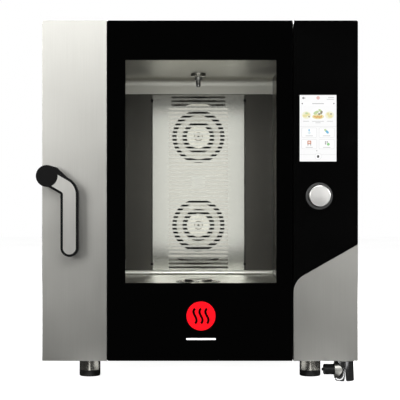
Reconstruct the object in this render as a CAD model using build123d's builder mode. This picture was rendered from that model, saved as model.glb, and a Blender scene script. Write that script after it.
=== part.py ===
from build123d import *
import os

# Combi steamer oven, millimetres, +Z up, front face towards -Y.
# The origin is on the floor, under the centre of the whole oven's box.

# Cabinet
body_width = 850
body_height = 916
body_depth = 900  # front glass to rear panel
sheet = 1.5  # outer panels
frame_sheet = 2
foot_height = 62
tray_height = 40  # base tray
panel_return = 15  # side panels fold in under the top
return_setback = 10
rear_corner_radius = 3
louvre_length = 110
louvre_height = 6
louvre_columns = 3
louvre_rows = 9
louvre_spacing = 150
louvre_pitch = 16

# Door and control column, side by side across the front
column_width = 173.2
column_gap = 3  # door edge to column
strip_width = 175  # steel strip at the handle side
strip_gap = 0.6
door_thickness = 65
door_gap = 4  # door to cabinet, taken up by the gasket
glass = 4
border = 0.4  # black enamel behind the clear glass
window_inset_left = 49
window_inset_right = 43.3
window_inset_bottom = 209.6
window_inset_top = 104.4
reveal = 12  # door frame opening stands back from the window
glass_corner = 5
strip_fold_radius = 1.4
gasket_width = 6
gasket_margin = 0.8
inner_glass_seat = 10  # air behind the inner glass
clip_width = 10
clip_depth = 5
clip_height = 24
clip_inset = 60
badge_radius = 39
badge_offset = 2.7  # right of the middle
badge_height = 121
badge_thickness = 0.6
wave_pitch = 16
wave_height = 40
wave_sway = 4
wave_width = 6

# Cavity
cavity_inset_left = 11.3  # from the door glass edge
cavity_inset_right = 20.2  # from the hinge edge of the door
cavity_lift = 198  # above the cabinet's underside
roof_space = 100  # ceiling to top of the cabinet
liner = 1.2
motor_bay = 124
rear_insulation = 40
side_insulation = 35
chamber_depth = 115
ceiling_flange = 50.2
ceiling_cove = 24
floor_flange = 13.4
floor_cove = 8
seam = 1.5

# Slotted baffle and fans
baffle_margin = 89.7
baffle_gap = 4.4
slot_height = 6.2
slot_pitch = 12.18
slot_margin = 9
slot_length = 186.8
top_slot_length = 170
top_slots = 3
blank_width = 42.6
blank_slots = 3
screw_inset = 20  # from the ends of the rear wall
screw_radius = 2.2
screw_hole_radius = 2.6
screw_length = 12
screw_head_radius = 4.5
screw_head_height = 2.5
screw_slot = 1.2
inlet_plate_gap = 10  # baffle to inlet plate
inlet_plate_inset = 10  # from the baffle's sides
inlet_plate_margin = 37  # from the ends of the rear wall
post_radius = 4
post_inset = 8
fan_spacing = 280.4
fan_lift = 4.6
fan_radius = 105
inlet_radius = 82.6
blade_count = 6
blade_sheet = 2
blade_start = 12
blade_sweep = -24
blade_end_gap = 4
wheel_setback = 16  # behind the rear wall
wheel_depth = 62
wheel_disc = 3
wheel_ring = 2
hub_radius = 38
hub_setback = 8  # behind the wheel's inlet ring
hub_ring_radius = 49
hub_ring_setback = 12
hub_ring_wall = 2
hub_floor = 6
hub_cap_radius = 12.6
hub_cap_height = 3
hub_screw_radius = 3.2
shaft_radius = 6
shaft_end = 60  # into the motor
shaft_hole_gap = 1.5  # round the shaft in the chamber's sheet
wool_gap = 4  # round the shaft in the mineral wool
running_clearance = 0.05
element_radius = 122
element_tube = 4.2
element_inset = 8  # from the wheel's faces
element_leg_offset = 12
element_tail = 20
motor_radius = 58
motor_flange = 14
motor_flange_plate = 4
motor_rear_gap = 12
motor_corner = 5
fin_count = 24
fin_groove = 5
fin_depth = 3
fin_setback = 14
fin_length = 70

# Hinge and handle
hinge_inset = 13
hinge_setback = 8.6
hinge_pin_radius = 3
hinge_recess = 12
hinge_plate = 6
hinge_arm_width = 16.5
hinge_arm_offset = 1.5  # arm's inner edge to the pin's axis
hinge_foot_width = 36
hinge_foot_height = 28
hinge_arm_gap = 2.5  # recess floor to the arm
hinge_pin_reach = 16
hinge_recess_width = 24  # left of the pin's axis
bush_width = 12  # left of the pin's axis
bush_depth = 14  # behind the pin's axis
bush_end = 4  # past the pin's end
handle_reach = 62
boss_radius = 29
boss_inset = 19.7
boss_height = 496.7  # above the cabinet's underside
lever_run = 59.8  # boss axis to grip axis
lever_angle = 30
lever_bend = 25
shoulder_start = (4, 28)  # from the boss axis, right and up
shoulder_top = (26, 23)
shoulder_end = (-8, -2)  # from the grip axis and the boss axis
shoulder_radius = 12
grip_drop = 190.7  # boss axis to the centre of the grip's round end
grip_width = 47
grip_thickness = 27
inlay_width = 34
inlay_depth = 1.6
handle_shaft_radius = 9
handle_socket = 12  # front of the boss to the shaft's end
handle_gap = 0.6
bush_wall = 5
bush_flange = 9
handle_bush_length = 34
striker_offset = 30
striker_radius = 5
striker_reach = 23  # into the door
striker_plate = 40
striker_hole_radius = 12
striker_tip = 2
latch_setback = 19  # in front of the door's back
latch_plate = 8
latch_hub_radius = 16
latch_clearance = 1.5
finger_width = 5.5
finger_low_angle = -12
finger_high_angle = 42
slot_low_angle = -30
slot_high_angle = 20

# Control column
panel_plate = 2
panel_gap = 1
diagonal_height = 313.7  # at the cabinet's side, above its underside
diagonal_angle = 29.7
diagonal_radius = 53.7
corner_chamfer = 0.6
corner_return = 170  # inner fold of the corner panel
corner_return_lift = 5
display_width = 98.4
display_height = 178.3
display_inset = 58.1  # from the cabinet's right side
display_drop = 200.7  # from the top
display_thickness = 8
display_flange = 8
display_box_inset_side = 20
display_box_inset_end = 30
display_depth = 22
fit_gap = 0.3
knob_radius = 28
knob_reach = 30
knob_inset = 104.3
knob_height = 443.5
knob_travel = 1
knob_gap = 0.5  # left when the knob is pushed in
knob_chamfer = 1.2
knob_back_radius = 1
knob_rim = 2.4
knob_dish = 0.6
knob_socket = 8  # front of the knob to the shaft's end
knob_shaft_radius = 4
knob_hole_gap = 2
encoder_width = 28
encoder_depth = 20
encoder_bore = 18
bezel_radius = 36
bezel_gap = 1.5
bezel_height = 3
bezel_chamfer = 1

# Fittings
nozzle_setback = 455
nozzle_flange_radius = 22.5
nozzle_flange_height = 9
nozzle_flange_edge = 1.5
nozzle_pipe_radius = 5
nozzle_pipe_reach = 18  # below the ceiling flange
pipe_top_gap = 30  # wash pipe's end to the top panel
nozzle_gap = 2
nozzle_head_radius = 11.5
nozzle_head_height = 10
nozzle_body_radius = 7
nozzle_body_height = 14
nozzle_bore_depth = 20
nozzle_jet_radius = 1.2
nozzle_jet_depths = (7, 24)
drain_setback = 250
drain_flange_radius = 64
drain_flange = 2
drain_dome_radius = 40
drain_dome_height = 6
drain_dome_edge = 4
strainer_roof = 2
strainer_slots = 10
strainer_slot_circle = 14
strainer_slot = (12, 3)
drain_bend_radius = 70
drain_pipe_radius = 25
drain_pipe_wall = 2
drain_outlet = 40  # past the rear panel
drain_height = 70
collar_width = 3  # stop for the hose outside the rear panel
collar_height = 3
vent_radius = 25
vent_wall = 2
vent_rise = 30
vent_flange = 12
vent_flange_plate = 2
vent_offset = 165  # right of the cavity's middle
inlet_stub_radius = 13.2
inlet_stub_wall = 4
inlet_stub_length = 24
inlet_stub_inside = 30
inlet_flange = 8
inlet_nut = 4
inlet_bore_depth = 10
valve_width = 40
valve_depth = 42
valve_below = 16
valve_above = 45
inlet_inset = 130
gland_radius = 12
gland_bore_radius = 7
gland_inside = 10
gland_outside = 20
gland_nut = 6
gland_nut_margin = 5
gland_inset = 120
service_height = 75
foot_radius = 29.5
foot_inset_side = 114.5
foot_setback = 178
foot_inset_rear = 90
foot_pad = 17.2
foot_edge = 4
foot_stem_radius = 12
foot_stem_rise = 30  # into the base tray
sleeve_wall = 3
spray_inset = 31.5
spray_setback = 40
spray_radius = 25.5
spray_drop = 57
spray_wall = 2
spray_taper = 1.5
spray_crown = 4  # bracket plate above the bell
spray_roof = 6
spray_knob_radius = 14.5
spray_knob_length = 29.7
spray_knob_drop = 27
spray_knob_edge = 4
spray_knob_ribs = 16
spray_rib_radius = 1.4
spray_rib_length = 22
spray_rib_offset = 0.5
spray_tip = 4
saddle_radius = 24
saddle_margin = 3
spindle_radius = 4
spindle_inset = 10
bracket_width = 16

# Places worked out from the sizes above
handle_overhang = boss_radius - boss_inset
total_depth = handle_reach + body_depth + drain_outlet
mid_x = handle_overhang / 2
front_y = handle_reach - total_depth / 2
left_x = mid_x - body_width / 2
right_x = mid_x + body_width / 2
bottom_z = foot_height
top_z = foot_height + body_height
rear_y = front_y + body_depth
door_back_y = front_y + door_thickness
cabinet_y = door_back_y + door_gap
column_x = right_x - column_width
door_right_x = column_x - column_gap
glass_left_x = left_x + strip_width
border_y = front_y + glass
frame_y = border_y + border
window_x = (glass_left_x + window_inset_left, door_right_x - window_inset_right)
window_z = (bottom_z + window_inset_bottom, top_z - window_inset_top)

liner_y = cabinet_y + frame_sheet
cavity_x = (glass_left_x + cavity_inset_left, door_right_x - cavity_inset_right)
cavity_z = (bottom_z + cavity_lift, top_z - roof_space)
cavity_mid_x = (cavity_x[0] + cavity_x[1]) / 2
chamber_back_y = rear_y - motor_bay - rear_insulation
partition_y = chamber_back_y - chamber_depth
wall_z = (cavity_z[0] + floor_flange, cavity_z[1] - ceiling_flange)
baffle_x = (cavity_x[0] + baffle_margin, cavity_x[1] - baffle_margin)
baffle_mid_z = (wall_z[0] + wall_z[1]) / 2
slot_count = int((wall_z[1] - wall_z[0] - 2 * slot_margin) / slot_pitch) + 1
fan_heights = {
    "upper": baffle_mid_z + fan_lift + fan_spacing / 2,
    "lower": baffle_mid_z + fan_lift - fan_spacing / 2,
}
motor_y = chamber_back_y + rear_insulation
wheel_front_y = partition_y + wheel_setback
wheel_back_y = wheel_front_y + wheel_depth

hinge_x = door_right_x - hinge_inset
hinge_y = front_y + hinge_setback
hinge_arm = door_back_y - hinge_y
corner_swing = (hinge_inset**2 + hinge_arm**2) ** 0.5 - hinge_arm  # how far the door's corner swings back
gasket_y = door_back_y + corner_swing + fit_gap
handle_x = left_x + boss_inset
handle_z = bottom_z + boss_height
grip_x = handle_x + lever_run
striker_x = handle_x + striker_offset
knob_x = right_x - knob_inset
knob_z = bottom_z + knob_height
display_x = (right_x - display_inset - display_width, right_x - display_inset)
display_z = (top_z - display_drop - display_height, top_z - display_drop)
nozzle_y = front_y + nozzle_setback
drain_y = front_y + drain_setback
drain_z = bottom_z + drain_height
service_z = bottom_z + service_height
vent_x = cavity_mid_x + vent_offset
vent_y = partition_y + chamber_depth / 2
gland_x = left_x + gland_inset
inlet_x = right_x - inlet_inset
spray_x = right_x - spray_inset
spray_y = front_y + spray_setback
badge_x = mid_x + badge_offset
badge_z = bottom_z + badge_height
foot_places = {
    "front_left": (left_x + foot_inset_side, front_y + foot_setback),
    "front_right": (right_x - foot_inset_side, front_y + foot_setback),
    "rear_left": (left_x + foot_inset_side, rear_y - foot_inset_rear),
    "rear_right": (right_x - foot_inset_side, rear_y - foot_inset_rear),
}
pieces = {}


def block(x, y, z, mode=Mode.ADD):
    # Rectangular block between the (low, high) pairs.
    with Locations((x[0], y[0], z[0])):
        Box(x[1] - x[0], y[1] - y[0], z[1] - z[0], align=(Align.MIN,) * 3, mode=mode)


def upright(x, y, z, radius, mode=Mode.ADD):
    # Round bar along Z between the (low, high) heights.
    with Locations((x, y, z[0])):
        Cylinder(radius, z[1] - z[0], align=(Align.CENTER, Align.CENTER, Align.MIN), mode=mode)


def lengthwise(x, y, z, radius, mode=Mode.ADD):
    # Round bar along Y between the (low, high) depths.
    with Locations(Location((x, y[0], z), (-90, 0, 0))):
        Cylinder(radius, y[1] - y[0], align=(Align.CENTER, Align.CENTER, Align.MIN), mode=mode)


def crosswise(x, y, z, radius, mode=Mode.ADD):
    # Round bar along X between the (low, high) places.
    with Locations(Location((x[0], y, z), (0, 90, 0))):
        Cylinder(radius, x[1] - x[0], align=(Align.CENTER, Align.CENTER, Align.MIN), mode=mode)


def grown(span, amount):
    return (span[0] - amount, span[1] + amount)


def facing(y, x=0, z=0):
    # Sketch plane at a depth, with X to the right and Z up.
    return Plane((x, y, z), x_dir=(1, 0, 0), z_dir=(0, -1, 0))


# Base tray that carries the cabinet on its four feet
with BuildPart() as base_frame:
    tray_x = (left_x + sheet, right_x - sheet)
    tray_y = (liner_y, rear_y - sheet)
    block(tray_x, tray_y, (bottom_z, bottom_z + tray_height))
    block(grown(tray_x, -frame_sheet), grown(tray_y, -frame_sheet),
          (bottom_z + frame_sheet, bottom_z + tray_height), Mode.SUBTRACT)
    for foot_x, foot_y in foot_places.values():
        upright(foot_x, foot_y, (bottom_z, bottom_z + frame_sheet), foot_stem_radius + fit_gap, Mode.SUBTRACT)
pieces["base_frame"] = base_frame

return_y = (liner_y, rear_y - return_setback)
with BuildPart() as left_side_panel:
    block((left_x, left_x + sheet), (cabinet_y, rear_y), (bottom_z, top_z - sheet))
    block((left_x, left_x + panel_return), return_y, (top_z - 2 * sheet, top_z - sheet))
pieces["left_side_panel"] = left_side_panel

with BuildPart() as right_side_panel:
    block((right_x - sheet, right_x), (border_y, rear_y), (bottom_z, top_z - sheet))
    block((right_x - panel_return, right_x), return_y, (top_z - 2 * sheet, top_z - sheet))
pieces["right_side_panel"] = right_side_panel

with BuildPart() as top_panel:
    block((left_x, right_x), (cabinet_y, rear_y), (top_z - sheet, top_z))
    upright(vent_x, vent_y, (top_z - sheet, top_z), vent_radius + fit_gap, Mode.SUBTRACT)
    fillet(top_panel.edges().filter_by(Axis.Z).group_by(Axis.Y)[-1], rear_corner_radius)
pieces["top_panel"] = top_panel

# Rear panel with two fields of louvre slots and the service holes
with BuildPart() as rear_panel:
    block(grown((left_x, right_x), -sheet), (rear_y - sheet, rear_y), (bottom_z, top_z - sheet))
    with BuildSketch(facing(rear_y)):
        for louvre_z in fan_heights.values():
            with Locations((cavity_mid_x, louvre_z)):
                with GridLocations(louvre_spacing, louvre_pitch, louvre_columns, louvre_rows):
                    SlotOverall(louvre_length, louvre_height)
    extrude(amount=sheet, mode=Mode.SUBTRACT)
    lengthwise(cavity_mid_x, (rear_y - sheet, rear_y), drain_z, drain_pipe_radius + fit_gap, Mode.SUBTRACT)
    lengthwise(inlet_x, (rear_y - sheet, rear_y), service_z, inlet_stub_radius + fit_gap, Mode.SUBTRACT)
    lengthwise(gland_x, (rear_y - sheet, rear_y), service_z, gland_radius + fit_gap, Mode.SUBTRACT)
pieces["rear_panel"] = rear_panel

with BuildPart() as front_frame:
    block(grown((left_x, right_x), -sheet), (cabinet_y, liner_y), (bottom_z, top_z - sheet))
    block(cavity_x, (cabinet_y, liner_y), cavity_z, Mode.SUBTRACT)
pieces["front_frame"] = front_frame


def pan(near, corner_z, lip_z, cove):
    # Sheet that runs back along the cavity and turns along the rear wall in a cove.
    outer_z = corner_z + (liner if corner_z > lip_z else -liner)
    with BuildPart() as bent:
        with BuildSketch(Plane.YZ.offset(cavity_x[0])):
            with BuildLine():
                FilletPolyline((near, corner_z), (partition_y, corner_z), (partition_y, lip_z), radius=cove)
                Line((partition_y, lip_z), (partition_y + liner, lip_z))
                FilletPolyline((partition_y + liner, lip_z), (partition_y + liner, outer_z), (near, outer_z),
                               radius=cove + liner)
                Line((near, outer_z), (near, corner_z))
            make_face()
        extrude(amount=cavity_x[1] - cavity_x[0])
    return bent


with BuildPart() as cavity_ceiling:
    add(pan(liner_y, cavity_z[1], wall_z[1] + seam / 2, ceiling_cove))
    upright(cavity_mid_x, nozzle_y, grown(cavity_z, 2 * liner), nozzle_pipe_radius + fit_gap, Mode.SUBTRACT)
pieces["cavity_ceiling"] = cavity_ceiling

with BuildPart() as cavity_floor:
    add(pan(liner_y, cavity_z[0], wall_z[0] - seam / 2, floor_cove))
    upright(cavity_mid_x, drain_y, grown(cavity_z, 2 * liner), drain_pipe_radius + fit_gap, Mode.SUBTRACT)
pieces["cavity_floor"] = cavity_floor

wall_places = {
    "left": (cavity_x[0] - liner, cavity_x[0]),
    "right": (cavity_x[1], cavity_x[1] + liner),
}
for side, wall_x in wall_places.items():
    with BuildPart() as cavity_wall:
        block(wall_x, (liner_y, chamber_back_y), grown(cavity_z, liner))
    pieces[f"cavity_{side}_wall"] = cavity_wall

# Rear wall: a fixed panel each side of the removable baffle
with BuildPart() as rear_wall_panels:
    block(cavity_x, (partition_y, partition_y + liner), grown(wall_z, -seam / 2))
    block(grown(baffle_x, baffle_gap), (partition_y, partition_y + liner), wall_z, Mode.SUBTRACT)
    screw_x = grown(baffle_x, baffle_gap / 2)
    screw_z = grown(wall_z, -screw_inset)
    for x in screw_x:
        for z in screw_z:
            lengthwise(x, (partition_y, partition_y + liner), z, screw_hole_radius, Mode.SUBTRACT)
pieces["rear_wall_panels"] = rear_wall_panels

# Slotted baffle in front of the fans
with BuildPart() as fan_baffle:
    block(baffle_x, (partition_y, partition_y + liner), grown(wall_z, -seam / 2))
    with BuildSketch(facing(partition_y)):
        for row in range(slot_count):
            from_top = slot_count - 1 - row
            row_z = baffle_mid_z + (row - (slot_count - 1) / 2) * slot_pitch
            row_length = top_slot_length if from_top < top_slots else slot_length
            with Locations((cavity_mid_x, row_z)):
                Rectangle(row_length, slot_height)
        with Locations((cavity_mid_x, baffle_mid_z)):
            Rectangle(blank_width, blank_slots * slot_pitch - slot_height, mode=Mode.SUBTRACT)
    extrude(amount=-liner, mode=Mode.SUBTRACT)
    for x in screw_x:
        for z in screw_z:
            lengthwise(x, (partition_y, partition_y + liner), z, screw_hole_radius, Mode.SUBTRACT)
pieces["fan_baffle"] = fan_baffle

head_y = partition_y - screw_head_height
with BuildPart() as baffle_screws:
    for x in screw_x:
        for z in screw_z:
            lengthwise(x, (head_y, partition_y), z, screw_head_radius)
            lengthwise(x, (partition_y, partition_y + screw_length), z, screw_radius)
            block(grown((x, x), screw_hole_radius), (head_y, head_y + screw_slot),
                  grown((z, z), screw_slot / 2), Mode.SUBTRACT)
pieces["baffle_screws"] = baffle_screws

# Fan chamber: bent sheet that carries the inlet plate on four posts
plate_y = (partition_y + inlet_plate_gap, partition_y + inlet_plate_gap + liner)
leg_places = (cavity_mid_x - element_leg_offset, cavity_mid_x + element_leg_offset)
element_legs = [(x, height - element_radius) for height in fan_heights.values() for x in leg_places]
with BuildPart() as fan_chamber:
    block(cavity_x, (partition_y + liner, chamber_back_y), cavity_z)
    block(cavity_x, (partition_y + liner, chamber_back_y - liner), grown(cavity_z, -liner), Mode.SUBTRACT)
    upright(vent_x, vent_y, (cavity_z[1] - liner, cavity_z[1]), vent_radius + fit_gap, Mode.SUBTRACT)
    for height in fan_heights.values():
        lengthwise(cavity_mid_x, (chamber_back_y - liner, chamber_back_y), height,
                   shaft_radius + shaft_hole_gap, Mode.SUBTRACT)
    for leg_x, leg_z in element_legs:
        lengthwise(leg_x, (chamber_back_y - liner, chamber_back_y), leg_z,
                   element_tube + fit_gap, Mode.SUBTRACT)
    block(grown(baffle_x, -inlet_plate_inset), plate_y, grown(wall_z, -inlet_plate_margin))
    for height in fan_heights.values():
        lengthwise(cavity_mid_x, plate_y, height, inlet_radius, Mode.SUBTRACT)
    for x in grown(baffle_x, -inlet_plate_inset - post_inset):
        for z in grown(wall_z, -inlet_plate_margin - post_inset):
            lengthwise(x, (plate_y[1], chamber_back_y - liner), z, post_radius)
pieces["fan_chamber"] = fan_chamber

for name, height in fan_heights.items():
    # Two heating coils around the fan wheel, with legs out through the chamber's back
    coil_y = (wheel_front_y + element_inset, wheel_back_y - element_inset)
    with BuildPart() as heating_element:
        for y in coil_y:
            with Locations(Location((cavity_mid_x, y, height), (90, 0, 0))):
                Torus(element_radius, element_tube)
        for leg_x in leg_places:
            lengthwise(leg_x, (coil_y[0], chamber_back_y + element_tail), height - element_radius,
                       element_tube)
    pieces[f"{name}_heating_element"] = heating_element

    # Centrifugal wheel: back disc with a stepped hub, curved blades and an inlet ring, on its motor shaft
    disc_y = (wheel_back_y - wheel_disc, wheel_back_y)
    ring_y = (wheel_front_y, wheel_front_y + wheel_ring)
    hub_y = wheel_front_y + hub_setback
    hub_ring_y = wheel_front_y + hub_ring_setback
    with BuildPart() as fan_wheel:
        lengthwise(cavity_mid_x, disc_y, height, fan_radius)
        lengthwise(cavity_mid_x, ring_y, height, fan_radius)
        lengthwise(cavity_mid_x, ring_y, height, inlet_radius, Mode.SUBTRACT)
        with BuildSketch(facing(disc_y[0], cavity_mid_x, height)):
            with PolarLocations((hub_ring_radius + fan_radius) / 2, blade_count, start_angle=blade_start):
                Rectangle(fan_radius - hub_ring_radius - 2 * blade_end_gap, blade_sheet, rotation=blade_sweep)
        extrude(amount=disc_y[0] - ring_y[1])
        lengthwise(cavity_mid_x, (hub_ring_y, wheel_back_y), height, hub_ring_radius)
        lengthwise(cavity_mid_x, (hub_ring_y, wheel_back_y - hub_floor), height,
                   hub_ring_radius - hub_ring_wall, Mode.SUBTRACT)
        lengthwise(cavity_mid_x, (hub_y, wheel_back_y), height, hub_radius)
        lengthwise(cavity_mid_x, (hub_y - hub_cap_height, hub_y), height, hub_cap_radius)
        lengthwise(cavity_mid_x, (hub_y - hub_cap_height, hub_y), height, hub_screw_radius, Mode.SUBTRACT)
        lengthwise(cavity_mid_x, (wheel_back_y, motor_y + shaft_end), height, shaft_radius)
    pieces[f"{name}_fan_wheel"] = fan_wheel

    with BuildPart() as fan_motor:
        lengthwise(cavity_mid_x, (motor_y, motor_y + motor_flange_plate), height, motor_radius + motor_flange)
        lengthwise(cavity_mid_x, (motor_y + motor_flange_plate, rear_y - sheet - motor_rear_gap), height,
                   motor_radius)
        fillet(fan_motor.edges().filter_by(GeomType.CIRCLE).group_by(Axis.Y)[-1], motor_corner)
        with Locations(Location((cavity_mid_x, motor_y + fin_setback, height), (-90, 0, 0))):
            with PolarLocations(motor_radius, fin_count):
                Box(fin_groove, fin_depth, fin_length, align=(Align.CENTER, Align.CENTER, Align.MIN),
                    mode=Mode.SUBTRACT)
        lengthwise(cavity_mid_x, (motor_y, motor_y + shaft_end + shaft_hole_gap), height,
                   shaft_radius + running_clearance, Mode.SUBTRACT)
    pieces[f"{name}_fan_motor"] = fan_motor

# Mineral wool sleeve around the cavity and its fan chamber
with BuildPart() as cavity_insulation:
    block(grown(cavity_x, side_insulation), (liner_y, motor_y), grown(cavity_z, side_insulation))
    block(grown(cavity_x, liner), (liner_y, chamber_back_y), grown(cavity_z, liner), Mode.SUBTRACT)
    upright(vent_x, vent_y, (cavity_z[1], cavity_z[1] + 2 * side_insulation),
            vent_radius + fit_gap, Mode.SUBTRACT)
    upright(cavity_mid_x, nozzle_y, (cavity_z[1], cavity_z[1] + 2 * side_insulation),
            nozzle_pipe_radius + fit_gap, Mode.SUBTRACT)
    upright(cavity_mid_x, drain_y, (cavity_z[0] - 2 * side_insulation, cavity_z[0]),
            drain_pipe_radius + fit_gap, Mode.SUBTRACT)
    for height in fan_heights.values():
        lengthwise(cavity_mid_x, (chamber_back_y, motor_y), height, shaft_radius + wool_gap, Mode.SUBTRACT)
    for leg_x, leg_z in element_legs:
        lengthwise(leg_x, (chamber_back_y, motor_y), leg_z, element_tube + fit_gap, Mode.SUBTRACT)
pieces["cavity_insulation"] = cavity_insulation

# Wash water pipe with its ceiling flange, and the spinning nozzle that hangs from it
flange_z = cavity_z[1] - nozzle_flange_height
with BuildPart() as wash_pipe:
    upright(cavity_mid_x, nozzle_y, (flange_z, cavity_z[1]), nozzle_flange_radius)
    fillet(wash_pipe.edges().group_by(Axis.Z)[0], nozzle_flange_edge)
    upright(cavity_mid_x, nozzle_y, (flange_z - nozzle_pipe_reach, top_z - pipe_top_gap), nozzle_pipe_radius)
pieces["wash_pipe"] = wash_pipe

head_z = (flange_z - nozzle_gap - nozzle_head_height, flange_z - nozzle_gap)
tip_z = head_z[0] - nozzle_body_height
with BuildPart() as wash_nozzle:
    upright(cavity_mid_x, nozzle_y, head_z, nozzle_head_radius)
    upright(cavity_mid_x, nozzle_y, (tip_z, head_z[0]), nozzle_body_radius)
    with Locations((cavity_mid_x, nozzle_y, tip_z)):
        Sphere(nozzle_body_radius)
    upright(cavity_mid_x, nozzle_y, (flange_z - nozzle_bore_depth, flange_z),
            nozzle_pipe_radius + running_clearance, Mode.SUBTRACT)
    for jet_depth in nozzle_jet_depths:
        crosswise((cavity_mid_x, cavity_mid_x + nozzle_head_radius), nozzle_y, flange_z - jet_depth,
                  nozzle_jet_radius, Mode.SUBTRACT)
pieces["wash_nozzle"] = wash_nozzle

# Drain: raised strainer on the cavity floor, and the waste pipe out through the back
dome_z = (cavity_z[0] + drain_flange, cavity_z[0] + drain_flange + drain_dome_height)
with BuildPart() as drain_strainer:
    upright(cavity_mid_x, drain_y, (cavity_z[0], dome_z[0]), drain_flange_radius)
    upright(cavity_mid_x, drain_y, dome_z, drain_dome_radius)
    fillet(drain_strainer.edges().group_by(Axis.Z)[-1], drain_dome_edge)
    upright(cavity_mid_x, drain_y, (cavity_z[0], dome_z[1] - strainer_roof), drain_pipe_radius, Mode.SUBTRACT)
    with Locations((cavity_mid_x, drain_y, dome_z[1])):
        with PolarLocations(strainer_slot_circle, strainer_slots):
            Box(*strainer_slot, 2 * drain_dome_height, mode=Mode.SUBTRACT)
pieces["drain_strainer"] = drain_strainer

with BuildPart() as drain_pipe:
    with BuildLine(Plane.YZ.offset(cavity_mid_x)) as waste_route:
        FilletPolyline((drain_y, cavity_z[0]), (drain_y, drain_z), (rear_y + drain_outlet, drain_z),
                       radius=drain_bend_radius)
    with BuildSketch(Plane((cavity_mid_x, drain_y, cavity_z[0]), z_dir=(0, 0, -1))):
        Circle(drain_pipe_radius)
        Circle(drain_pipe_radius - drain_pipe_wall, mode=Mode.SUBTRACT)
    sweep(path=waste_route.wires()[0])
    with BuildSketch(facing(rear_y + fit_gap, cavity_mid_x, drain_z)):
        Circle(drain_pipe_radius + collar_height)
        Circle(drain_pipe_radius - drain_pipe_wall, mode=Mode.SUBTRACT)
    extrude(amount=-collar_width)
pieces["drain_pipe"] = drain_pipe

with BuildPart() as steam_vent:
    upright(vent_x, vent_y, (cavity_z[1] - liner, top_z + vent_rise), vent_radius)
    upright(vent_x, vent_y, (top_z, top_z + vent_flange_plate), vent_radius + vent_flange)
    upright(vent_x, vent_y, (cavity_z[1] - liner, top_z + vent_rise), vent_radius - vent_wall, Mode.SUBTRACT)
pieces["steam_vent"] = steam_vent

# Water inlet: solenoid valve with a threaded stub through the rear panel
inside_y = rear_y - sheet
valve_y = (rear_y - inlet_stub_inside - valve_depth, rear_y - inlet_stub_inside)
with BuildPart() as water_inlet:
    lengthwise(inlet_x, (valve_y[1], rear_y + inlet_stub_length), service_z, inlet_stub_radius)
    for nut_y in ((inside_y - inlet_nut, inside_y), (rear_y, rear_y + inlet_nut)):
        lengthwise(inlet_x, nut_y, service_z, inlet_stub_radius + inlet_flange)
    block(grown((inlet_x, inlet_x), valve_width / 2), valve_y,
          (service_z - valve_below, service_z + valve_above))
    lengthwise(inlet_x, (rear_y - inlet_bore_depth, rear_y + inlet_stub_length), service_z,
               inlet_stub_radius - inlet_stub_wall, Mode.SUBTRACT)
pieces["water_inlet"] = water_inlet

gland_y = (inside_y - gland_inside, rear_y + gland_outside)
with BuildPart() as cable_gland:
    lengthwise(gland_x, gland_y, service_z, gland_radius)
    for nut_y in (inside_y - gland_nut, rear_y):
        with BuildSketch(facing(nut_y, gland_x, service_z)):
            RegularPolygon(gland_radius + gland_nut_margin, 6)
        extrude(amount=-gland_nut)
    lengthwise(gland_x, gland_y, service_z, gland_bore_radius, Mode.SUBTRACT)
pieces["cable_gland"] = cable_gland

# Control column: open housing, black glass, steel corner panel, display and knob
housing_y = (border_y, cabinet_y)
with BuildPart() as control_housing:
    block((column_x, right_x - sheet), housing_y, (bottom_z, top_z))
    block((column_x + sheet, right_x - 2 * sheet), (border_y, cabinet_y - sheet),
          (bottom_z + sheet, top_z - sheet), Mode.SUBTRACT)
pieces["control_housing"] = control_housing


def corner_outline(clearance):
    # Lower corner panel: its top edge falls diagonally and rounds into the upright left edge.
    slope = Vector(1, 0).rotate(Axis.Z, diagonal_angle)
    lift = clearance / slope.X
    side_z = bottom_z + diagonal_height + lift + clearance * slope.Y / slope.X
    left_z = side_z - (right_x - column_x + 2 * clearance) * slope.Y / slope.X
    with BuildSketch(facing(front_y)) as outline:
        with BuildLine():
            Polyline(
                (right_x + clearance, bottom_z - clearance),
                (column_x - clearance, bottom_z - clearance),
                (column_x - clearance, left_z),
                (right_x + clearance, side_z),
                close=True,
            )
        make_face()
        fillet(outline.vertices().group_by(Axis.X)[0].sort_by(Axis.Y)[-1], diagonal_radius + clearance)
    return outline.sketch


with BuildPart() as lower_corner_panel:
    extrude(corner_outline(0), amount=-panel_plate)
    chamfer(lower_corner_panel.faces().sort_by(Axis.Y)[0].edges(), corner_chamfer)
    block((column_x, column_x + sheet), (front_y + panel_plate, border_y),
          (bottom_z + corner_return_lift, bottom_z + corner_return))
pieces["lower_corner_panel"] = lower_corner_panel

with BuildPart() as control_glass:
    block((column_x, right_x), (front_y, border_y), (bottom_z, top_z))
    fillet(control_glass.edges().filter_by(Axis.Y).group_by(Axis.Z)[-1].sort_by(Axis.X)[-1], glass_corner)
    extrude(corner_outline(panel_gap), amount=-glass, mode=Mode.SUBTRACT)
    block(grown(display_x, fit_gap), (front_y, border_y), grown(display_z, fit_gap), Mode.SUBTRACT)
    lengthwise(knob_x, (front_y, border_y), knob_z, knob_shaft_radius + knob_hole_gap, Mode.SUBTRACT)
pieces["control_glass"] = control_glass

with BuildPart() as touch_display:
    module_y = front_y + display_thickness
    block(display_x, (front_y, module_y), display_z)
    block(grown(display_x, display_flange), (border_y, module_y), grown(display_z, display_flange))
    block(grown(display_x, -display_box_inset_side), (module_y, front_y + display_depth),
          grown(display_z, -display_box_inset_end))
pieces["touch_display"] = touch_display

with BuildPart() as knob_bezel:
    lengthwise(knob_x, (front_y - bezel_height, front_y), knob_z, bezel_radius)
    chamfer(knob_bezel.edges().group_by(Axis.Y)[0], bezel_chamfer)
    lengthwise(knob_x, (front_y - bezel_height, front_y), knob_z, knob_radius + bezel_gap, Mode.SUBTRACT)
pieces["knob_bezel"] = knob_bezel

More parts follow.
